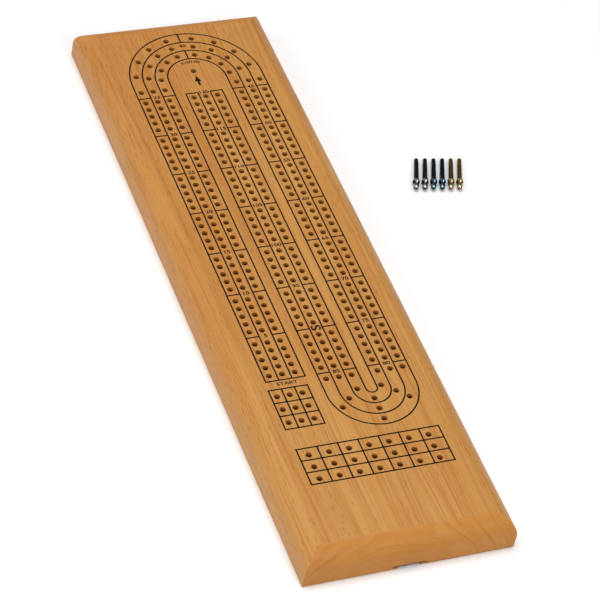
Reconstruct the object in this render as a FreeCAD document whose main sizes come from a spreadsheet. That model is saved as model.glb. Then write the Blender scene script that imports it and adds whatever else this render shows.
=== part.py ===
"""Three-track cribbage board with its storage cover and six metal pegs, in millimetres.

The board's origin is the centre of its underside. +X runs across it, +Y along it away from
the players' start holes, and +Z up through the playing face.
"""
import FreeCAD, Part
import math
import os
import Sketcher

SIZES = [
    ("board_length", 381.0, "15 in blank"),
    ("board_width", 109.0, "about 4 1/4 in"),
    ("board_thickness", 19.0, "3/4 in board"),
    ("joint_x", 12.5, "glue line between the two staves"),
    ("bevel_width", 9.3, "how far the moulded edge reaches in, seen from above"),
    ("bevel_drop", 10.8, "how far it comes down the side, which it meets without a corner"),
    ("bevel_radius", 11.0, "its convex cutter"),
    ("eased_edge", 0.6, "round on the bottom edges"),
    ("hole_diameter", 3.2, "1/8 in peg hole"),
    ("hole_depth", 8.0, ""),
    ("track_pitch", 6.75, "across the board, track to track"),
    ("column_pitch", 27.4, "column of three tracks to the next column"),
    ("street_shift", 0.3, "middle of the streets, from the board's middle"),
    ("top_turn_shift", -0.5, "the holes round the top turn, from the streets' middle"),
    ("top_turn_inset", 0.9, "and how far they lie inside the middle of their tracks"),
    ("bottom_turn_shift", -1.1, "the same for the bottom turn"),
    ("bottom_turn_inset", 0.6, ""),
    ("hole_pitch", 5.4, "along a track, inside a group of five"),
    ("group_pitch", 30.0, "one group of five to the next"),
    ("group_lead", 4.0, "divider line to the first hole after it"),
    ("start_line_y", -80.9, "the line below the first group"),
    ("top_arc_rise", 10.0, "last divider line up to the centre of the top turn"),
    ("top_arc_gap", 2.4, "extra space across the divider at the top of the turn"),
    ("bottom_arc_drop", 14.0, "start line down to the centre of the bottom turn"),
    ("bottom_turn_lead", 3.5, "start line down to the first row of the bottom turn"),
    ("bottom_arc_gap", 5.2, "extra space round the lowest hole of each track, both sides together"),
    ("finish_y", 145.4, "game hole"),
    ("start_grid_pitch_x", 6.65, ""),
    ("start_grid_pitch_y", 8.5, ""),
    ("start_grid_x", -27.85, "centre"),
    ("start_grid_y", -99.1, "centre"),
    ("tally_pitch_x", 10.43, ""),
    ("tally_pitch_y", 7.5, ""),
    ("tally_x", -0.6, "centre"),
    ("tally_y", -136.7, "centre"),
    ("slot_opening", 11.4, "width of the slot in the underside"),
    ("groove_width", 17.6, "over both side grooves"),
    ("groove_floor", 1.5, "wood left below each groove"),
    ("groove_height", 0.95, ""),
    ("slot_length", 117.0, "from the front end"),
    ("store_width", 11.4, "peg compartment"),
    ("store_length", 84.0, ""),
    ("store_height", 9.5, "underside to the compartment's ceiling"),
    ("store_front", 22.5, "front end to the compartment"),
    ("cover_width", 17.2, "sheet steel cover"),
    ("cover_length", 114.0, ""),
    ("cover_gauge", 0.8, ""),
    ("cover_setback", 0.2, "behind the front end"),
    ("cover_corner", 1.5, ""),
    ("cover_lift", 0.05, "running gap over the groove's floor"),
    ("thumb_diameter", 10.0, "pressed thumb mark"),
    ("thumb_depth", 0.3, ""),
    ("thumb_setback", 12.0, "front edge of the cover to the mark's centre"),
    ("peg_length", 25.4, "1 in"),
    ("peg_tip_radius", 1.2, ""),
    ("peg_shaft_radius", 1.4, "under the collar"),
    ("peg_shaft_length", 18.3, ""),
    ("peg_collar_radius", 2.0, ""),
    ("peg_collar_length", 2.4, ""),
    ("peg_collar_slope", 0.7, "length of each sloping shoulder"),
    ("peg_neck_radius", 1.05, ""),
    ("peg_neck_length", 1.3, ""),
    ("peg_cap_radius", 1.4, ""),
    ("peg_cap_rim", 2.2, "the cap below its dome"),
    ("peg_row_x", 115.5, "middle of the row of loose pegs"),
    ("peg_row_y", 60.0, ""),
    ("peg_row_pitch", 4.9, ""),
    ("peg_row_turn", -10.4, "degrees, the row's direction from +X"),
    ("peg_turn", -22.0, "degrees, the way the tips point from +Y"),
]
TRACKS = (-1, 0, 1)
COLUMNS = (-1, 0, 1)
ROWS_IN_GROUP = 5
GROUPS = 7
HAIR = 0.01
TOP_ARC_HOLES = 10
BOTTOM_ARC_HOLES = 5
TALLY_COLUMNS = 7
GRID_ROWS = 3
PEG_NAMES = ["black_peg_1", "black_peg_2", "blue_peg_1", "blue_peg_2", "brass_peg_1", "brass_peg_2"]

doc = FreeCAD.newDocument("cribbage_board")
sheet = doc.addObject("Spreadsheet::Sheet", "Sizes")
for line, (alias, number, note) in enumerate(SIZES, start=1):
    sheet.set(f"A{line}", alias)
    sheet.set(f"B{line}", str(number))
    sheet.set(f"C{line}", note)
    sheet.setAlias(f"B{line}", alias)
doc.recompute()


class Size:
    """A number worked out from the sheet, with the expression that keeps it bound to the sheet."""

    def __init__(self, number, text):
        self.number = number
        self.text = text

    def __add__(self, other):
        other = sized(other)
        return Size(self.number + other.number, f"({self.text} + {other.text})")

    def __sub__(self, other):
        other = sized(other)
        return Size(self.number - other.number, f"({self.text} - {other.text})")

    def __mul__(self, other):
        other = sized(other)
        return Size(self.number * other.number, f"({self.text} * {other.text})")

    def __truediv__(self, other):
        other = sized(other)
        return Size(self.number / other.number, f"({self.text} / {other.text})")

    def __neg__(self):
        return self * -1


def sized(value):
    """A plain number as a Size."""
    if isinstance(value, Size):
        return value
    return Size(float(value), f"({float(value)})")


def size(alias):
    """The Size of one cell of the sheet."""
    return Size(float(sheet.get(alias)), f"Sizes.{alias}")


def sine(degrees):
    return Size(math.sin(math.radians(degrees.number)), f"sin({degrees.text})")


def cosine(degrees):
    return Size(math.cos(math.radians(degrees.number)), f"cos({degrees.text})")


HALF_LENGTH = size("board_length") / 2
HALF_WIDTH = size("board_width") / 2
HOLE_RADIUS = size("hole_diameter") / 2
TOP_LINE_Y = size("start_line_y") + size("group_pitch") * GROUPS
TOP_ARC_Y = TOP_LINE_Y + size("top_arc_rise")
BOTTOM_ARC_Y = size("start_line_y") - size("bottom_arc_drop")


def bind(feature, prop, value):
    """Set a feature's length or angle and bind it to the sheet."""
    value = sized(value)
    setattr(feature, prop, value.number)
    feature.setExpression(prop, value.text)


def new_body(label):
    body = doc.addObject("PartDesign::Body", label)
    body.Label = label
    return body


def new_sketch(body, name, role, height=None):
    """A sketch on one of the body's origin planes, raised along the plane's normal by height."""
    sketch = body.newObject("Sketcher::SketchObject", f"{body.Name}_{name}")
    plane = next(item for item in body.Origin.OriginFeatures if item.Role == role)
    sketch.AttachmentSupport = [(plane, "")]
    sketch.MapMode = "FlatFace"
    if height is not None:
        sketch.setExpression("AttachmentOffset.Base.z", height.text)
    return sketch


def pin_point(sketch, geometry, end, x, y):
    """Hold one end (1, 2) or centre (3) of a geometry at x, y, bound to the sheet."""
    for kind, value, axis in (("DistanceX", sized(x), -2), ("DistanceY", sized(y), -1)):
        if value.number == 0:
            sketch.addConstraint(Sketcher.Constraint("PointOnObject", geometry, end, axis))
        else:
            limit = Sketcher.Constraint(kind, -1, 1, geometry, end, value.number)
            index = sketch.addConstraint(limit)
            sketch.setExpression(f"Constraints[{index}]", value.text)


def arc_through(start, end, radius):
    """An arc from start to end that bulges to the right of the way it runs."""
    along = end - start
    middle = (start + end) * 0.5
    left = FreeCAD.Vector(-along.y, along.x, 0).normalize()
    centre = middle + left * math.sqrt(radius ** 2 - along.Length ** 2 / 4)
    bulge = centre - left * radius
    return Part.Arc(start, bulge, end)


def outline(sketch, corners):
    """A closed outline: each corner is x, y and, where an arc leaves it, the arc's radius."""
    places = [FreeCAD.Vector(sized(c[0]).number, sized(c[1]).number, 0) for c in corners]
    first = sketch.GeometryCount
    for index, corner in enumerate(corners):
        start = places[index]
        end = places[(index + 1) % len(corners)]
        if len(corner) > 2:
            edge = arc_through(start, end, sized(corner[2]).number)
        else:
            edge = Part.LineSegment(start, end)
        sketch.addGeometry(edge, False)
    # An arc always runs anticlockwise, so its start is the end that the edge before it reaches.
    for index, corner in enumerate(corners):
        follower = (index + 1) % len(corners)
        sketch.addConstraint(Sketcher.Constraint("Coincident", first + index, 2, first + follower, 1))
        pin_point(sketch, first + index, 1, corner[0], corner[1])
        if len(corner) > 2:
            radius = sized(corner[2])
            limit = sketch.addConstraint(Sketcher.Constraint("Radius", first + index, radius.number))
            sketch.setExpression(f"Constraints[{limit}]", radius.text)


def circles(sketch, centres, radius):
    """Equal circles on a list of centres."""
    leader = sketch.GeometryCount
    up = FreeCAD.Vector(0, 0, 1)
    for index, (x, y) in enumerate(centres):
        middle = FreeCAD.Vector(sized(x).number, sized(y).number, 0)
        circle = sketch.addGeometry(Part.Circle(middle, up, radius.number), False)
        pin_point(sketch, circle, 3, x, y)
        if index == 0:
            limit = sketch.addConstraint(Sketcher.Constraint("Radius", circle, radius.number))
            sketch.setExpression(f"Constraints[{limit}]", radius.text)
        else:
            sketch.addConstraint(Sketcher.Constraint("Equal", leader, circle))


def pad(body, sketch, length, symmetric=False):
    feature = body.newObject("PartDesign::Pad", f"{sketch.Name}_pad")
    feature.Profile = sketch
    bind(feature, "Length", length)
    if symmetric:
        feature.SideType = "Symmetric"
    return feature


def pocket(body, sketch, depth=None, upward=False):
    """Cut the sketch into the body to a depth, or right through when there is none."""
    before = body.Shape.Volume
    feature = body.newObject("PartDesign::Pocket", f"{sketch.Name}_pocket")
    feature.Profile = sketch
    if depth is None:
        feature.Type = "ThroughAll"
        feature.SideType = "Symmetric"
    else:
        bind(feature, "Length", depth)
        feature.Reversed = upward
    doc.recompute()
    if body.Shape.Volume > before - HAIR:
        raise RuntimeError(f"{feature.Name} cuts nothing")
    return feature


def arc_place(centre_x, centre_y, radius, turn, upward):
    """A point on a turn: turn is in degrees from the turn's left end."""
    way = 1 if upward else -1
    return centre_x - radius * cosine(turn), centre_y + radius * sine(turn) * way


def turn_holes(end, centre_x, centre_y, radius, lead, count):
    """Holes along one track of the top or bottom turn.

    The run starts on the straight, lead before the turn, goes round and ends level with its
    start. The spacing is even, but for a gap in the middle. All but the two end holes are drilled
    in a set-up of their own, so they sit off to one side, and a little inside the track's middle.
    """
    upward = end == "top"
    way = 1 if upward else -1
    degrees = sized(180) / math.pi
    half_turn = radius * math.pi
    middle = (count - 1) / 2
    gap = size(f"{end}_arc_gap")
    shifted_x = centre_x + size(f"{end}_turn_shift")
    drilled = radius - size(f"{end}_turn_inset")
    spacing = (lead * 2 + half_turn - gap) / (count - 1)
    places = [(centre_x - radius, centre_y - lead * way), (centre_x + radius, centre_y - lead * way)]
    for index in range(1, count - 1):
        travelled = spacing * index - lead
        if index == middle:
            travelled += gap / 2
        elif index > middle:
            travelled += gap
        if travelled.number < 0:
            places.append((shifted_x - drilled, centre_y + travelled * way))
        elif travelled.number > half_turn.number:
            places.append((shifted_x + drilled, centre_y - (travelled - half_turn) * way))
        else:
            places.append(arc_place(shifted_x, centre_y, drilled, travelled / radius * degrees, upward))
    return places


def street_holes(columns):
    """The first group of five rows in each of the given columns."""
    places = []
    for column in columns:
        for track in TRACKS:
            x = size("street_shift") + size("column_pitch") * column + size("track_pitch") * track
            for row in range(ROWS_IN_GROUP):
                rise = size("group_lead") + size("hole_pitch") * row
                places.append((x, size("start_line_y") + rise))
    return places


def grid_holes(centre_x, centre_y, pitch_x, pitch_y, columns):
    places = []
    for row in range(GRID_ROWS):
        for column in range(columns):
            across = pitch_x * (column - (columns - 1) / 2)
            along = pitch_y * (row - (GRID_ROWS - 1) / 2)
            places.append((centre_x + across, centre_y + along))
    return places


def single_holes():
    """Every hole outside the straight streets: both turns, the finish, start and tally holes."""
    places = []
    top_lead = size("top_arc_rise") - size("group_lead")
    bottom_lead = size("bottom_arc_drop") - size("bottom_turn_lead")
    bottom_turn_x = size("street_shift") + size("column_pitch") / 2
    for track in TRACKS:
        top_radius = size("column_pitch") + size("track_pitch") * track
        bottom_radius = size("column_pitch") / 2 + size("track_pitch") * track
        places += turn_holes("top", size("street_shift"), TOP_ARC_Y, top_radius,
                             top_lead, TOP_ARC_HOLES)
        places += turn_holes("bottom", bottom_turn_x, BOTTOM_ARC_Y, bottom_radius,
                             bottom_lead, BOTTOM_ARC_HOLES)
    places.append((sized(0), size("finish_y")))
    places += grid_holes(size("start_grid_x"), size("start_grid_y"),
                         size("start_grid_pitch_x"), size("start_grid_pitch_y"), GRID_ROWS)
    places += grid_holes(size("tally_x"), size("tally_y"),
                         size("tally_pitch_x"), size("tally_pitch_y"), TALLY_COLUMNS)
    return places


def stave(label, side, columns):
    """One of the two edge-glued staves: side is -1 for the left one and 1 for the right one."""
    body = new_body(label)
    edge = HALF_WIDTH * side
    shoulder = (HALF_WIDTH - size("bevel_width")) * side
    side_top = size("board_thickness") - size("bevel_drop")
    section = new_sketch(body, "section", "XZ_Plane")
    if side > 0:
        corners = [(size("joint_x"), 0), (edge, 0), (edge, side_top, size("bevel_radius")),
                   (shoulder, size("board_thickness")), (size("joint_x"), size("board_thickness"))]
    else:
        corners = [(edge, 0), (size("joint_x"), 0), (size("joint_x"), size("board_thickness")),
                   (shoulder, size("board_thickness"), size("bevel_radius")), (edge, side_top)]
    outline(section, corners)
    pad(body, section, size("board_length"), symmetric=True)
    doc.recompute()
    mould_ends(body, side_top)
    ease_bottom(body, side)
    drill(body, "street", street_holes(columns), side)
    pattern = body.newObject("PartDesign::LinearPattern", f"{label}_groups")
    pattern.Originals = [body.Tip]
    along = next(item for item in body.Origin.OriginFeatures if item.Role == "Y_Axis")
    pattern.Direction = (along, [""])
    bind(pattern, "Length", size("group_pitch") * (GROUPS - 1))
    pattern.Occurrences = GROUPS
    body.Tip = pattern
    doc.recompute()
    drill(body, "single", single_holes(), side)
    return body


def mould_ends(body, side_top):
    """Cut the same convex moulding across both ends, which mitres it with the sides."""
    clear = 2.0
    top = size("board_thickness")
    over = top + clear
    beyond = HALF_LENGTH + clear
    shoulder = HALF_LENGTH - size("bevel_width")
    ends = new_sketch(body, "ends", "YZ_Plane")
    # The wood lies inside the arc, so seen from the waste the arc is hollow.
    near = [(-shoulder, top, size("bevel_radius")), (-HALF_LENGTH, side_top),
            (-beyond, side_top), (-beyond, over), (-shoulder, over)]
    far = [(HALF_LENGTH, side_top, size("bevel_radius")), (shoulder, top),
           (shoulder, over), (beyond, over), (beyond, side_top)]
    outline(ends, near)
    outline(ends, far)
    pocket(body, ends)


def ease_bottom(body, side):
    """Round the stave's bottom edges, apart from the glued one."""
    names = []
    for index, edge in enumerate(body.Shape.Edges, start=1):
        box = edge.BoundBox
        lengthwise = box.YLength > box.XLength
        outer = (box.XMin + box.XMax) / 2 * side > HALF_WIDTH.number - HAIR
        if box.ZMax < HAIR and (outer or not lengthwise):
            names.append(f"Edge{index}")
    moulded = body.Tip
    feature = body.newObject("PartDesign::Fillet", f"{body.Name}_eased")
    feature.Base = (moulded, names)
    bind(feature, "Radius", size("eased_edge"))
    doc.recompute()


def drill(body, name, centres, side):
    """Drill the holes that reach this stave."""
    joint = size("joint_x").number * side
    reach = HOLE_RADIUS.number
    own = [(x, y) for x, y in centres if x.number * side + reach > joint]
    sketch = new_sketch(body, name, "XY_Plane", size("board_thickness"))
    circles(sketch, own, HOLE_RADIUS)
    pocket(body, sketch, size("hole_depth"))


def rout_storage(body):
    """The T-slot from the front end for the cover, and the peg compartment above it."""
    slot = new_sketch(body, "slot", "XZ_Plane", HALF_LENGTH)
    opening = size("slot_opening") / 2
    groove = size("groove_width") / 2
    floor = size("groove_floor")
    ceiling = floor + size("groove_height")
    outline(slot, [(-opening, 0), (opening, 0), (opening, floor), (groove, floor),
                   (groove, ceiling), (-groove, ceiling), (-groove, floor), (-opening, floor)])
    pocket(body, slot, size("slot_length"))
    store = new_sketch(body, "store", "XY_Plane")
    radius = size("store_width") / 2
    front = size("store_front") - HALF_LENGTH + radius
    back = front + size("store_length") - size("store_width")
    outline(store, [(-radius, back), (-radius, front, radius), (0, front - radius, radius),
                    (radius, front), (radius, back, radius), (0, back + radius, radius)])
    pocket(body, store, size("store_height"), upward=True)


def storage_cover():
    """The sheet steel cover that slides in the grooves."""
    body = new_body("storage_cover")
    plate = new_sketch(body, "plate", "XY_Plane", size("groove_floor") + size("cover_lift"))
    half = size("cover_width") / 2
    corner = size("cover_corner")
    front = size("cover_setback") - HALF_LENGTH
    back = front + size("cover_length")
    outline(plate, [(corner - half, front), (half - corner, front, corner), (half, front + corner),
                    (half, back - corner, corner), (half - corner, back), (corner - half, back, corner),
                    (-half, back - corner), (-half, front + corner, corner)])
    pad(body, plate, size("cover_gauge"))
    doc.recompute()
    thumb = new_sketch(body, "thumb", "XY_Plane", size("groove_floor") + size("cover_lift"))
    circles(thumb, [(sized(0), front + size("thumb_setback"))], size("thumb_diameter") / 2)
    pocket(body, thumb, size("thumb_depth"), upward=True)
    return body


def peg(label, place):
    """One turned peg, modelled upright on its tip and then laid down at its place."""
    body = new_body(label)
    tip = size("peg_tip_radius")
    shaft = size("peg_shaft_radius")
    collar = size("peg_collar_radius")
    slope = size("peg_collar_slope")
    neck = size("peg_neck_radius")
    cap = size("peg_cap_radius")
    collar_start = size("peg_shaft_length")
    collar_end = collar_start + size("peg_collar_length")
    cap_start = collar_end + size("peg_neck_length")
    dome_start = cap_start + size("peg_cap_rim")
    dome = size("peg_length") - dome_start
    dome_radius = (cap * cap + dome * dome) / (dome * 2)
    profile = new_sketch(body, "profile", "XZ_Plane")
    outline(profile, [(0, 0, tip), (tip, tip), (shaft, collar_start), (collar, collar_start + slope),
                      (collar, collar_end - slope), (neck, collar_end), (neck, cap_start),
                      (cap, cap_start + cap - neck), (cap, dome_start, dome_radius),
                      (0, size("peg_length"))])
    turned = body.newObject("PartDesign::Revolution", f"{label}_turned")
    turned.Profile = profile
    turned.ReferenceAxis = (profile, ["V_Axis"])
    turned.Angle = 360
    body.Placement = place
    return body


def peg_places():
    """Where the loose pegs lie, side by side, each resting on its tip and its collar."""
    tip = size("peg_tip_radius").number
    collar = size("peg_collar_radius").number
    rest = size("peg_shaft_length").number + size("peg_collar_slope").number - tip
    tilt = math.acos(tip / math.hypot(collar, rest)) - math.atan2(rest, collar)
    turn = math.radians(size("peg_turn").number)
    row = math.radians(size("peg_row_turn").number)
    tipward = FreeCAD.Vector(-math.sin(turn), math.cos(turn), 0)
    headward = tipward * -math.cos(tilt) + FreeCAD.Vector(0, 0, math.sin(tilt))
    lie = FreeCAD.Rotation(FreeCAD.Vector(0, 0, 1), headward)
    middle = FreeCAD.Vector(size("peg_row_x").number, size("peg_row_y").number, 0)
    places = []
    for index in range(len(PEG_NAMES)):
        offset = (index - (len(PEG_NAMES) - 1) / 2) * size("peg_row_pitch").number
        along = FreeCAD.Vector(math.cos(row), math.sin(row), 0) * offset
        point = middle + along + tipward * (size("peg_length").number / 2)
        point.z = tip - tip * math.sin(tilt)
        places.append(FreeCAD.Placement(point, lie))
    return places


wide_stave = stave("wide_stave", -1, COLUMNS[:2])
rout_storage(wide_stave)
narrow_stave = stave("narrow_stave", 1, COLUMNS[2:])
nodes = [wide_stave, narrow_stave, storage_cover()]
nodes += [peg(name, place) for name, place in zip(PEG_NAMES, peg_places())]
doc.recompute()

for item in doc.Objects:
    if "Invalid" in item.State or "Error" in item.State:
        raise RuntimeError(f"{item.Name} failed: {item.State}")
for node in nodes:
    if node.Shape.isNull() or not node.Shape.isValid() or len(node.Shape.Solids) != 1:
        raise RuntimeError(f"{node.Label} is not one valid solid")

os.makedirs("parts", exist_ok=True)
for node in nodes:
    node.Shape.exportStep(f"parts/{node.Label}.step")
    box = node.Shape.BoundBox
    print(f"{node.Label}: {box.XLength:.2f} x {box.YLength:.2f} x {box.ZLength:.2f} mm, "
          f"z {box.ZMin:.3f} to {box.ZMax:.3f}, {len(node.Shape.Faces)} faces")
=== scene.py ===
"""The looks of the cribbage board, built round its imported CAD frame. Lengths are in metres."""

import math

import bmesh
import bpy
from mathutils import Matrix, Vector


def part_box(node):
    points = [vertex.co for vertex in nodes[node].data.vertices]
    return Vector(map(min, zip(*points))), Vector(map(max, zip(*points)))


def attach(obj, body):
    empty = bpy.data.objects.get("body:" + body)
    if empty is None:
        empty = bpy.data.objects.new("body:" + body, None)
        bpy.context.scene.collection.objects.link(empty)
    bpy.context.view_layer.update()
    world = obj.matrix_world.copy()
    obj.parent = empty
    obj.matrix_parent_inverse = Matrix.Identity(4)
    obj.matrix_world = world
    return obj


MM = 0.001

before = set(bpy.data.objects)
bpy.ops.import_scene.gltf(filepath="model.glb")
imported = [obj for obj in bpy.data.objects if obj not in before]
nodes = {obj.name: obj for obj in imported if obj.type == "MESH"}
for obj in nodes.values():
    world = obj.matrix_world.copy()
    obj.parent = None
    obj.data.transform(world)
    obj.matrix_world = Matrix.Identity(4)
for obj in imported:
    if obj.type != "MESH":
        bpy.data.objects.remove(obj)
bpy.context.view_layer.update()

# The print follows the drilled tracks, groups and grids. It is laid down in a step of its own,
# so it sits a little off the holes, and its sizes are its own.
PRINT_X = 0.35 * MM
TRACK = 6.93 * MM
COLUMN = 26.87 * MM
GROUP = 29.81 * MM
GROUPS = 7
TRACKS = 3
START_Y = -80.55 * MM
TOP_Y = START_Y + GROUPS * GROUP
TOP_ARC_Y = TOP_Y + 10.9 * MM
BOTTOM_ARC_Y = START_Y - 13.95 * MM
START_GRID = (-27.35 * MM, -98.95 * MM, 6.8 * MM, 8.5 * MM, 3, 3)
TALLY_GRID = (0.35 * MM, -135.95 * MM, 10.64 * MM, 7.41 * MM, 7, 3)
FINISH_Y = 145.4 * MM

LINE_WIDTH = 0.8 * MM
DIGIT_HEIGHT = 2.3 * MM
SKUNK_LETTER_HEIGHT = 5.2 * MM
START_HEIGHT = 2.0 * MM
START_DROP = 2.4 * MM
FINISH_HEIGHT = 1.8 * MM
FINISH_RADIUS = 13.9 * MM
FINISH_STEP = 7.4
ARROW_GAP = 4.1 * MM
ARROW_HEAD = 4.6 * MM
ARROW_LENGTH = 7.6 * MM
ARROW_WING = 2.0 * MM
ARROW_SHAFT = 0.6 * MM
ARROW_BARB = 0.35 * MM
INK_THICKNESS = 0.03 * MM
INK_SINK = 0.01 * MM
ARC_STEPS = 72
TOP_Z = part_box("wide_stave")[1].z

# The peg holes in the material's own millimetres: all lie this near the board's middle, and
# their walls take painted shade, on top of the raw wood's own darker colour, that deepens between the
# first two heights and stops above the third.
HOLE_REACH_X = 42.0
HOLE_REACH_Y = 178.0
WALL_LIGHT_Z = 18.8
WALL_DARK_Z = 16.4
WALL_END_Z = 10.0
BOARD_END_Y = 190.0


def srgb(red, green, blue):
    """A linear colour from 0 to 255 values."""
    def linear(value):
        share = value / 255
        return share / 12.92 if share <= 0.04045 else ((share + 0.055) / 1.055) ** 2.4
    return (linear(red), linear(green), linear(blue), 1.0)


HONEY = [(0.30, srgb(189, 134, 66)), (0.50, srgb(195, 142, 73)), (0.70, srgb(200, 149, 81))]
ORANGE = srgb(188, 121, 53)
LATE_WOOD = srgb(166, 98, 40)
FIBRE = srgb(160, 100, 46)
VESSEL = srgb(164, 92, 36)
PALE_STREAK = srgb(210, 166, 100)
OPEN_PORE = srgb(124, 60, 22)
END_GRAIN = srgb(184, 114, 48)
# Raw wood in the hole walls, darkened further as painted shade.
RAW_WOOD_AND_HOLE_SHADE = srgb(84, 38, 18)
# The cover's cut edges: dull cut metal, partly painted shade for the gap above the cover.
SHEARED_EDGE_AND_SHADE = srgb(44, 32, 24)


# ---------------------------------------------------------------- node helpers

class Shader:
    """A short way to write a node tree: each call adds a node and wires its inputs."""

    def __init__(self, name):
        self.material = bpy.data.materials.new(name)
        self.material.use_nodes = True
        self.tree = self.material.node_tree
        self.surface = self.tree.nodes["Principled BSDF"]

    def node(self, kind, settings=None, **inputs):
        made = self.tree.nodes.new(kind)
        for key, value in (settings or {}).items():
            setattr(made, key, value)
        for key, value in inputs.items():
            self.feed(made, key.replace("_", " "), value)
        return made

    def feed(self, node, key, value):
        socket = node.inputs[int(key[1:])] if key[0] == "i" and key[1:].isdigit() else node.inputs[key]
        if isinstance(value, bpy.types.NodeSocket):
            self.tree.links.new(value, socket)
        else:
            socket.default_value = value

    def maths(self, operation, first, second=0.0, third=0.0):
        made = self.node("ShaderNodeMath", {"operation": operation}, i0=first, i1=second, i2=third)
        return made.outputs[0]

    def vector(self, operation, first, second):
        made = self.node("ShaderNodeVectorMath", {"operation": operation}, i0=first, i1=second)
        return made.outputs[0]

    def noise(self, place, scale, detail=2.0, roughness=0.5):
        made = self.node("ShaderNodeTexNoise", {"noise_dimensions": "3D"},
                         Vector=place, Scale=scale, Detail=detail, Roughness=roughness)
        return made.outputs["Fac"]

    def ramp(self, value, stops):
        made = self.node("ShaderNodeValToRGB", Fac=value)
        bar = made.color_ramp.elements
        for index, (where, colour) in enumerate(stops):
            stop = bar[index] if index < 2 else bar.new(where)
            stop.position = where
            stop.color = colour if isinstance(colour, tuple) else (colour, colour, colour, 1.0)
        return made.outputs["Color"]

    def blend(self, share, first, second, mode="MIX"):
        made = self.node("ShaderNodeMix", {"data_type": "RGBA", "blend_type": mode})
        self.feed(made, "i0", share)
        self.feed(made, "i6", first)
        self.feed(made, "i7", second)
        return made.outputs[2]

    def product(self, first, second):
        return self.maths("MULTIPLY", first, second)

    def apart(self, vector):
        """The three components of a vector."""
        made = self.node("ShaderNodeSeparateXYZ", Vector=vector)
        return made.outputs["X"], made.outputs["Y"], made.outputs["Z"]

    def scaled(self, vector, factors):
        return self.vector("MULTIPLY", vector, factors)

    def position(self):
        """The place on the surface in millimetres, in the part's own frame."""
        where = self.node("ShaderNodeTexCoord").outputs["Object"]
        return self.scaled(where, (1000, 1000, 1000))

    def normal(self):
        return self.apart(self.node("ShaderNodeNewGeometry").outputs["Normal"])

    def bump(self, height, strength, distance):
        made = self.node("ShaderNodeBump", Height=height, Strength=strength, Distance=distance)
        self.feed(self.surface, "Normal", made.outputs["Normal"])


# ---------------------------------------------------------------- materials

def wood(name, pith, ring_spacing, seed):
    """Honey-coloured open-pored wood, solid right through: rings round a pith that runs along Y."""
    shader = Shader(name)
    place = shader.position()
    shift = (seed * 31.0, seed * 173.0, seed * 17.0)
    moved = shader.vector("ADD", place, shift)
    x, y, z = shader.apart(place)
    # The grain wanders slowly along the board.
    sway = shader.noise(shader.scaled(moved, (0.014, 0.0036, 0.02)), 1.0, 2.0, 0.4)
    sway = shader.product(shader.maths("SUBTRACT", sway, 0.5), 30.0)
    across = shader.maths("ADD", shader.maths("SUBTRACT", x, pith[0]), sway)
    cut_across = shader.maths("ABSOLUTE", shader.normal()[1])

    line, streak = growth_rings(shader, across, y, z, pith, ring_spacing, shift)
    # Vessels and fibres run along the board, and are equally fine whichever way the rings lie.
    swayed = shader.node("ShaderNodeCombineXYZ", X=across, Y=y, Z=z).outputs["Vector"]
    swayed = shader.vector("ADD", swayed, shift)
    fibre = shader.noise(shader.scaled(swayed, (3.6, 0.016, 3.6)), 1.0, 3.0, 0.6)
    pore = pores(shader, moved, x, y)

    colour = shader.blend(warmth(shader, moved, y), shader.ramp(streak, HONEY), ORANGE)
    shown = shader.ramp(cut_across, [(0.10, 0.42), (0.40, 0.85)])
    colour = shader.blend(shader.product(line, shown), colour, LATE_WOOD)
    colour = lengthwise_figure(shader, colour, swayed, fibre, cut_across)
    colour = shader.blend(shader.product(pore, 0.78), colour, OPEN_PORE)
    # End grain drinks more of the finish, so it is a deeper colour.
    colour = shader.blend(shader.ramp(cut_across, [(0.10, 0.0), (0.30, 0.42)]), colour, END_GRAIN)
    # The hole walls are darkened: partly the raw wood's own colour, partly painted shade down the hole.
    colour = shader.blend(shader.product(bored(shader, x, y, z), 0.6), colour, RAW_WOOD_AND_HOLE_SHADE)
    shader.feed(shader.surface, "Base Color", colour)
    shader.feed(shader.surface, "Roughness", shader.ramp(fibre, [(0.3, 0.40), (0.7, 0.54)]))
    # The finish stays glossy on the faces and soaks into the end grain.
    gloss = shader.ramp(cut_across, [(0.10, 0.26), (0.45, 0.10)])
    shader.feed(shader.surface, "Specular IOR Level", gloss)
    shader.surface.inputs["Coat Weight"].default_value = 0.05
    shader.surface.inputs["Coat Roughness"].default_value = 0.25
    relief = shader.maths("MULTIPLY_ADD", pore, -0.35, shader.product(fibre, 0.5))
    shader.bump(relief, 0.18, 0.0001)
    return shader.material


def growth_rings(shader, across, y, z, pith, spacing, shift):
    """How dark the ring line is here, and a slow streak that follows the rings."""
    above = shader.maths("SUBTRACT", z, pith[1])
    squared = shader.maths("MULTIPLY_ADD", above, above, shader.product(across, across))
    radius = shader.maths("SQRT", squared)
    turn = shader.product(shader.maths("ARCTAN2", across, above), -pith[1])
    # Growth coordinates: out from the pith, along the board, and round the pith.
    growth = shader.node("ShaderNodeCombineXYZ", X=radius, Y=y, Z=turn).outputs["Vector"]
    growth = shader.vector("ADD", growth, shift)
    uneven = shader.noise(shader.scaled(growth, (0.12, 0.006, 0.03)), 1.0, 2.0, 0.5)
    rings = shader.maths("ADD", shader.maths("DIVIDE", radius, spacing), shader.product(uneven, 2.2))
    ring = shader.maths("FRACT", rings)
    band = shader.ramp(ring, [(0.0, 0.05), (0.60, 0.22), (0.86, 0.90), (0.93, 1.0), (1.0, 0.05)])
    varied = shader.noise(shader.scaled(growth, (0.35, 0.008, 0.05)), 1.0, 2.0, 0.5)
    strength = shader.ramp(varied, [(0.35, 0.10), (0.65, 0.60)])
    streak = shader.noise(shader.scaled(growth, (0.45, 0.004, 0.10)), 1.0, 3.0, 0.55)
    return shader.product(band, strength), streak


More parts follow.
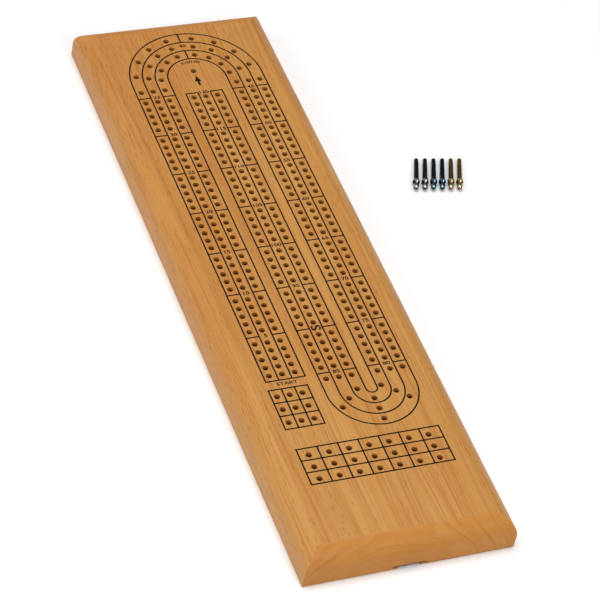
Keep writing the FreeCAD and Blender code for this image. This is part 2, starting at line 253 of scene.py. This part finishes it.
def warmth(shader, moved, y):
    """Orange clouds. The far end is a deeper orange than the players' end."""
    cloud = shader.noise(shader.scaled(moved, (0.026, 0.011, 0.04)), 1.0, 2.0, 0.5)
    depth = shader.node("ShaderNodeMapRange", {"clamp": True}, Value=y, From_Min=-BOARD_END_Y,
                        From_Max=BOARD_END_Y, To_Min=-0.10, To_Max=0.12).outputs["Result"]
    warm = shader.maths("ADD", shader.ramp(cloud, [(0.35, 0.0), (0.68, 0.45)]), depth)
    return shader.node("ShaderNodeClamp", Value=warm).outputs["Result"]


def lengthwise_figure(shader, colour, swayed, fibre, cut_across):
    """Fibres, thin orange-brown vessel lines and pale streaks, which end grain barely shows."""
    lengthwise = shader.ramp(cut_across, [(0.10, 1.0), (0.40, 0.20)])
    vessels = shader.noise(shader.scaled(swayed, (2.1, 0.0085, 2.1)), 1.0, 3.0, 0.62)
    # Some strips have more vessel lines than others.
    crowding = shader.noise(shader.scaled(swayed, (0.10, 0.004, 0.10)), 1.0, 2.0, 0.5)
    edge = shader.maths("MULTIPLY_ADD", crowding, 0.22, vessels)
    grain = shader.ramp(fibre, [(0.42, 0.0), (0.66, 0.26)])
    thread = shader.ramp(edge, [(0.64, 0.0), (0.69, 0.40), (0.76, 0.56)])
    pale = shader.ramp(vessels, [(0.30, 0.22), (0.42, 0.0)])
    for share, tint in ((grain, FIBRE), (thread, VESSEL), (pale, PALE_STREAK)):
        colour = shader.blend(shader.product(share, lengthwise), colour, tint)
    return colour


def bored(shader, x, y, z):
    """The walls of the peg holes: raw wood that the finish doesn't reach, darkened further by painted
    shade that deepens down the hole.
    """
    def within(value, limit):
        return shader.maths("LESS_THAN", shader.maths("ABSOLUTE", value), limit)
    field = shader.product(within(x, HOLE_REACH_X), within(y, HOLE_REACH_Y))
    below = shader.node("ShaderNodeMapRange", {"clamp": True}, Value=z, From_Min=WALL_LIGHT_Z,
                        From_Max=WALL_DARK_Z, To_Min=0.0, To_Max=1.0).outputs["Result"]
    above = shader.maths("GREATER_THAN", z, WALL_END_Z)
    return shader.product(shader.product(field, below), above)


def pores(shader, moved, x, y):
    """Open pores cut lengthwise: thin brown dashes that crowd together in patches."""
    cells = shader.node("ShaderNodeTexVoronoi", {"voronoi_dimensions": "3D", "feature": "F1"},
                        Vector=shader.scaled(moved, (1.9, 0.115, 1.9)), Scale=1.0, Randomness=1.0)
    crowd = shader.noise(shader.scaled(moved, (0.07, 0.016, 0.09)), 1.0, 3.0, 0.6)
    # There are more of them towards the far left corner.
    corner = shader.maths("MULTIPLY_ADD", x, -2.0, y)
    crowd = shader.maths("MULTIPLY_ADD", corner, 0.00036, crowd)
    chance = shader.node("ShaderNodeSeparateColor", Color=cells.outputs["Color"]).outputs["Red"]
    chosen = shader.maths("GREATER_THAN", chance, shader.maths("MULTIPLY_ADD", crowd, -2.6, 1.98))
    core = shader.ramp(cells.outputs["Distance"], [(0.0, 1.0), (0.14, 0.95), (0.32, 0.0)])
    return shader.product(core, chosen)


def ink():
    """Black printing ink, a little thin where the wood's pores show through."""
    shader = Shader("printing_ink")
    place = shader.position()
    patchy = shader.noise(shader.scaled(place, (2.5, 0.6, 2.5)), 1.0, 3.0, 0.6)
    colour = shader.ramp(patchy, [(0.35, srgb(6, 5, 4)), (0.80, srgb(30, 20, 13))])
    shader.feed(shader.surface, "Base Color", colour)
    shader.feed(shader.surface, "Roughness", shader.ramp(patchy, [(0.3, 0.55), (0.7, 0.7)]))
    shader.surface.inputs["Specular IOR Level"].default_value = 0.15
    return shader.material


def turned_metal(name, shaft, head, roughness):
    """Plated metal with faint turning marks and a painted highlight: the plate's own colour is dark,
    and the collar and cap are painted pale where they face up.
    """
    shader = Shader(name)
    place = shader.position()
    # Each peg lies with its head at the low corner of its own box.
    share_x, share_y, _ = shader.apart(shader.node("ShaderNodeTexCoord").outputs["Generated"])
    along = shader.product(shader.maths("ADD", share_x, share_y), 0.5)
    # Painted highlight along the peg: strong on the cap and collar, faint on the neck, none on the
    # shaft.
    head_highlight = shader.ramp(along, [(0.00, 1.0), (0.10, 0.9), (0.13, 0.15), (0.18, 0.15), (0.20, 1.0),
                                 (0.26, 0.8), (0.30, 0.0)])
    tarnish = shader.noise(shader.scaled(place, (0.5, 0.5, 0.5)), 1.0, 3.0, 0.6)
    dull = shader.ramp(tarnish, [(0.35, 0.75), (0.75, 1.0)])
    # Painted highlight on the faces that lie uppermost, and painted shade down the sides.
    painted_top_highlight = shader.ramp(shader.normal()[2], [(0.40, 0.05), (0.74, 1.0)])
    painted_highlight_share = shader.product(shader.maths("MAXIMUM", head_highlight, 0.03), painted_top_highlight)
    shader.feed(shader.surface, "Base Color", shader.blend(shader.product(painted_highlight_share, dull), shaft, head))
    shader.surface.inputs["Metallic"].default_value = 1.0
    marks = shader.noise(shader.scaled(place, (2.0, 9.0, 2.0)), 1.0, 2.0, 0.5)
    spread = shader.ramp(marks, [(0.3, roughness), (0.7, roughness + 0.10)])
    shader.feed(shader.surface, "Roughness", spread)
    shader.bump(marks, 0.10, 0.00005)
    return shader.material


def brushed_steel():
    """Brushed sheet whose upright edges are painted dark: partly the dull shear-cut metal, partly
    painted shade for the gap between the cover and the wood.
    """
    shader = Shader("brushed_sheet_steel")
    brush = shader.noise(shader.scaled(shader.position(), (7.0, 0.05, 7.0)), 1.0, 3.0, 0.6)
    sheet = shader.ramp(brush, [(0.3, 0.36), (0.7, 0.55)])
    # Painted shade: the upright edges are darkened, partly as dull cut metal and partly for the
    # shadowed gap above the cover.
    edge_sheared_and_shaded = shader.maths("LESS_THAN", shader.maths("ABSOLUTE", shader.normal()[2]), 0.5)
    shader.feed(shader.surface, "Base Color", shader.blend(edge_sheared_and_shaded, sheet, SHEARED_EDGE_AND_SHADE))
    shader.surface.inputs["Metallic"].default_value = 1.0
    shader.feed(shader.surface, "Roughness", shader.ramp(brush, [(0.3, 0.24), (0.7, 0.42)]))
    shader.bump(brush, 0.15, 0.00005)
    return shader.material


def plain_floor():
    shader = Shader("studio_floor")
    soft = shader.noise(shader.scaled(shader.position(), (0.002, 0.002, 0.002)), 1.0, 1.0, 0.5)
    shader.feed(shader.surface, "Base Color", shader.ramp(soft, [(0.3, 0.95), (0.7, 0.97)]))
    shader.surface.inputs["Roughness"].default_value = 0.9
    return shader.material


def paint(obj, material):
    obj.data.materials.clear()
    obj.data.materials.append(material)


# ---------------------------------------------------------------- printed layout

def arc(centre_x, centre_y, radius, start, end):
    """Points of an arc from start to end, in degrees."""
    steps = max(2, math.ceil(ARC_STEPS * abs(end - start) / 360))
    points = []
    for step in range(steps + 1):
        angle = math.radians(start + (end - start) * step / steps)
        points.append((centre_x + radius * math.cos(angle), centre_y + radius * math.sin(angle)))
    return points


def prism(mesh, loop):
    """A thin flat-topped solid of ink over a closed outline."""
    low = TOP_Z - INK_SINK
    high = TOP_Z + INK_THICKNESS
    bottom = [mesh.verts.new((x, y, low)) for x, y in loop]
    top = [mesh.verts.new((x, y, high)) for x, y in loop]
    mesh.faces.new(top)
    mesh.faces.new(bottom[::-1])
    for index in range(len(loop)):
        follower = (index + 1) % len(loop)
        mesh.faces.new((bottom[index], bottom[follower], top[follower], top[index]))


def stroke(mesh, points, width=LINE_WIDTH):
    """A line of ink along points, as one solid with mitred turns."""
    low = TOP_Z - INK_SINK
    high = TOP_Z + INK_THICKNESS
    rows = []
    for index, (x, y) in enumerate(points):
        before = points[max(index - 1, 0)]
        after = points[min(index + 1, len(points) - 1)]
        along = Vector((after[0] - before[0], after[1] - before[1])).normalized()
        side = Vector((-along.y, along.x)) * (width / 2)
        row = [(x + side.x, y + side.y, low), (x - side.x, y - side.y, low),
               (x - side.x, y - side.y, high), (x + side.x, y + side.y, high)]
        rows.append([mesh.verts.new(corner) for corner in row])
    mesh.faces.new(rows[0])
    mesh.faces.new(rows[-1][::-1])
    for near, far in zip(rows, rows[1:]):
        for index in range(4):
            follower = (index + 1) % 4
            mesh.faces.new((near[follower], near[index], far[index], far[follower]))


def street_lines(mesh):
    """The four lines that bound the three tracks, unbroken from the start to the top of the middle."""
    outer = COLUMN + TRACKS * TRACK / 2
    turn_x = COLUMN / 2
    for line in range(TRACKS + 1):
        top_radius = outer - line * TRACK
        bottom_radius = outer - turn_x - line * TRACK
        points = [(PRINT_X - top_radius, START_Y)]
        points += arc(PRINT_X, TOP_ARC_Y, top_radius, 180, 0)
        points += arc(PRINT_X + turn_x, BOTTOM_ARC_Y, bottom_radius, 0, -180)
        points.append((PRINT_X + turn_x - bottom_radius, TOP_Y))
        stroke(mesh, points)


def divider_lines(mesh):
    """The line across the two outer tracks after every fifth hole."""
    half = TRACKS * TRACK / 2
    for column in (-1, 0, 1):
        centre = PRINT_X + column * COLUMN
        for group in range(GROUPS + 1):
            y = START_Y + group * GROUP
            if column == -1 and group == 0:
                stroke(mesh, [(centre - half - LINE_WIDTH / 2, y), (centre + half + LINE_WIDTH / 2, y)])
                continue
            for side in (-1, 1):
                inner = centre + side * TRACK / 2
                reach = centre + side * (half + LINE_WIDTH / 2)
                stroke(mesh, [(min(inner, reach), y), (max(inner, reach), y)])
    for track in (-1, 1):
        middle = TOP_ARC_Y + COLUMN + track * TRACK
        stroke(mesh, [(PRINT_X, middle - TRACK / 2), (PRINT_X, middle + TRACK / 2)])


def grid_lines(mesh, centre_x, centre_y, pitch_x, pitch_y, columns, rows):
    left = centre_x - pitch_x * columns / 2
    low = centre_y - pitch_y * rows / 2
    right = left + pitch_x * columns
    high = low + pitch_y * rows
    over = LINE_WIDTH / 2
    for column in range(columns + 1):
        x = left + column * pitch_x
        stroke(mesh, [(x, low - over), (x, high + over)])
    for row in range(rows + 1):
        y = low + row * pitch_y
        stroke(mesh, [(left - over, y), (right + over, y)])


def finish_arrow(mesh):
    """The arrow that points from the end of the street to the game hole."""
    tip = FINISH_Y - ARROW_GAP
    head = tip - ARROW_HEAD
    neck = head + ARROW_BARB
    tail = tip - ARROW_LENGTH
    prism(mesh, [(0, tip), (-ARROW_WING, head), (-ARROW_SHAFT, neck), (-ARROW_SHAFT, tail),
                 (ARROW_SHAFT, tail), (ARROW_SHAFT, neck), (ARROW_WING, head)])


def mesh_object(name, mesh):
    data = bpy.data.meshes.new(name)
    bmesh.ops.recalc_face_normals(mesh, faces=mesh.faces)
    mesh.to_mesh(data)
    mesh.free()
    made = bpy.data.objects.new(name, data)
    bpy.context.scene.collection.objects.link(made)
    return made


def letter_mesh(text, weight):
    """The outline letters of a short text as a flat mesh, 1 high, centred on the origin."""
    curve = bpy.data.curves.new("lettering", "FONT")
    curve.body = text
    curve.extrude = 0.02
    curve.offset = weight
    curve.resolution_u = 3
    holder = bpy.data.objects.new("lettering", curve)
    bpy.context.scene.collection.objects.link(holder)
    graph = bpy.context.evaluated_depsgraph_get()
    data = bpy.data.meshes.new_from_object(holder.evaluated_get(graph))
    bpy.data.objects.remove(holder)
    bpy.data.curves.remove(curve)
    low = Vector([min(v.co[i] for v in data.vertices) for i in range(3)])
    high = Vector([max(v.co[i] for v in data.vertices) for i in range(3)])
    span = high - low
    data.transform(Matrix.Translation(-(low + high) / 2))
    data.transform(Matrix.Diagonal((1 / span.y, 1 / span.y, 1 / span.z, 1)))
    return data


def letters(mesh, text, x, y, height, turn=0.0, stretch=1.3, weight=0.025):
    """Print text centred on x, y."""
    data = letter_mesh(text, weight)
    thickness = INK_THICKNESS + INK_SINK
    middle = TOP_Z + (INK_THICKNESS - INK_SINK) / 2
    place = Matrix.Translation((x, y, middle)) @ Matrix.Rotation(math.radians(turn), 4, "Z")
    data.transform(place @ Matrix.Diagonal((height * stretch, height, thickness, 1)))
    mesh.from_mesh(data)
    bpy.data.meshes.remove(data)


def street_numbers(mesh):
    """The score at every fifth hole, up the left column, down the right and up the middle."""
    for group in range(1, GROUPS + 1):
        y = START_Y + group * GROUP
        letters(mesh, str(5 * group), PRINT_X - COLUMN, y, DIGIT_HEIGHT)
    letters(mesh, "40", PRINT_X, TOP_ARC_Y + COLUMN + 0.5 * MM, DIGIT_HEIGHT)
    for group in range(GROUPS + 1):
        y = START_Y + group * GROUP
        letters(mesh, str(80 - 5 * group), PRINT_X + COLUMN, y, DIGIT_HEIGHT)
        score = 85 + 5 * group
        if score == 90:
            # The skunk line has a letter in place of its number.
            letters(mesh, "S", PRINT_X, y, SKUNK_LETTER_HEIGHT, turn=90, stretch=1.2, weight=0.02)
        else:
            letters(mesh, str(score), PRINT_X, y, DIGIT_HEIGHT)


def words(mesh):
    """One word below the start, and one letter by letter along the inside of the top turn."""
    letters(mesh, "START", PRINT_X - COLUMN, START_Y - START_DROP, START_HEIGHT, stretch=1.42)
    word = "FINISH"
    for index, letter in enumerate(word):
        lean = (index - (len(word) - 1) / 2) * FINISH_STEP
        angle = math.radians(90 - lean)
        x = PRINT_X + FINISH_RADIUS * math.cos(angle)
        y = TOP_ARC_Y + FINISH_RADIUS * math.sin(angle)
        letters(mesh, letter, x, y, FINISH_HEIGHT, turn=-lean, stretch=1.15, weight=0.045)


def printed_pieces(material):
    lines = bmesh.new()
    street_lines(lines)
    divider_lines(lines)
    grid_lines(lines, *START_GRID)
    grid_lines(lines, *TALLY_GRID)
    finish_arrow(lines)
    text = bmesh.new()
    street_numbers(text)
    words(text)
    for name, mesh in (("printed_lines", lines), ("printed_numbers", text)):
        piece = mesh_object(name, mesh)
        paint(piece, material)
        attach(piece, "board")


# ---------------------------------------------------------------- studio

def studio():
    data = bpy.data.meshes.new("floor")
    reach = 3.0
    data.from_pydata([(-reach, -reach, 0), (reach, -reach, 0), (reach, reach, 0), (-reach, reach, 0)],
                     [], [(0, 1, 2, 3)])
    floor = bpy.data.objects.new("floor", data)
    floor.location.z = -0.0002
    bpy.context.scene.collection.objects.link(floor)
    paint(floor, plain_floor())
    lamp("overhead_softbox", (-0.2, 0.1, 1.8), 1.4, 23)
    lamp("front_key", (0.35, -1.45, 1.15), 0.4, 9)
    lamp("left_fill", (-1.6, 0.1, 0.9), 1.2, 9)
    world = bpy.data.worlds.new("studio")
    bpy.context.scene.world = world
    world.use_nodes = True
    backdrop = world.node_tree.nodes["Background"]
    backdrop.inputs["Color"].default_value = (1, 1, 1, 1)
    backdrop.inputs["Strength"].default_value = 0.30
    bpy.context.scene.view_settings.view_transform = "Standard"


def lamp(name, place, side, power):
    light = bpy.data.lights.new(name, "AREA")
    light.size = side
    light.energy = power
    holder = bpy.data.objects.new(name, light)
    holder.location = place
    holder.rotation_euler = (-Vector(place)).to_track_quat("-Z", "Y").to_euler()
    bpy.context.scene.collection.objects.link(holder)


def camera():
    """A long lens, high on the left of the players' end, with a slight roll."""
    back = Vector((-0.4553, -0.8600, 0.9601))
    forward = Vector((0.34056, 0.62153, -0.70549)).normalized()
    up = Vector((0.14073, 0.70820, 0.69185))
    right = forward.cross(up).normalized()
    up = right.cross(forward)
    data = bpy.data.cameras.new("camera")
    data.lens = 158.7
    data.sensor_width = 36
    data.clip_start = 0.05
    data.clip_end = 20
    holder = bpy.data.objects.new("camera", data)
    turn = Matrix((right, up, -forward)).transposed().to_4x4()
    holder.matrix_world = Matrix.Translation(back) @ turn
    bpy.context.scene.collection.objects.link(holder)
    bpy.context.scene.camera = holder


camera()
studio()
paint(nodes["wide_stave"], wood("wide_stave_wood", (-8.0, -46.0), 3.9, 1.0))
paint(nodes["narrow_stave"], wood("narrow_stave_wood", (-24.0, -40.0), 3.3, 2.0))
paint(nodes["storage_cover"], brushed_steel())
# The second colour of each finish is a painted highlight colour, laid on the up-facing collar and cap.
finishes = {
    "black": turned_metal("black_nickel", srgb(16, 14, 16), srgb(242, 228, 230), 0.16),
    "blue": turned_metal("blue_plate", srgb(10, 22, 38), srgb(150, 188, 208), 0.16),
    "brass": turned_metal("brass", srgb(104, 84, 42), srgb(255, 232, 176), 0.18),
}
for label, node in nodes.items():
    if "_peg_" in label:
        paint(node, finishes[label.split("_")[0]])
printed_pieces(ink())
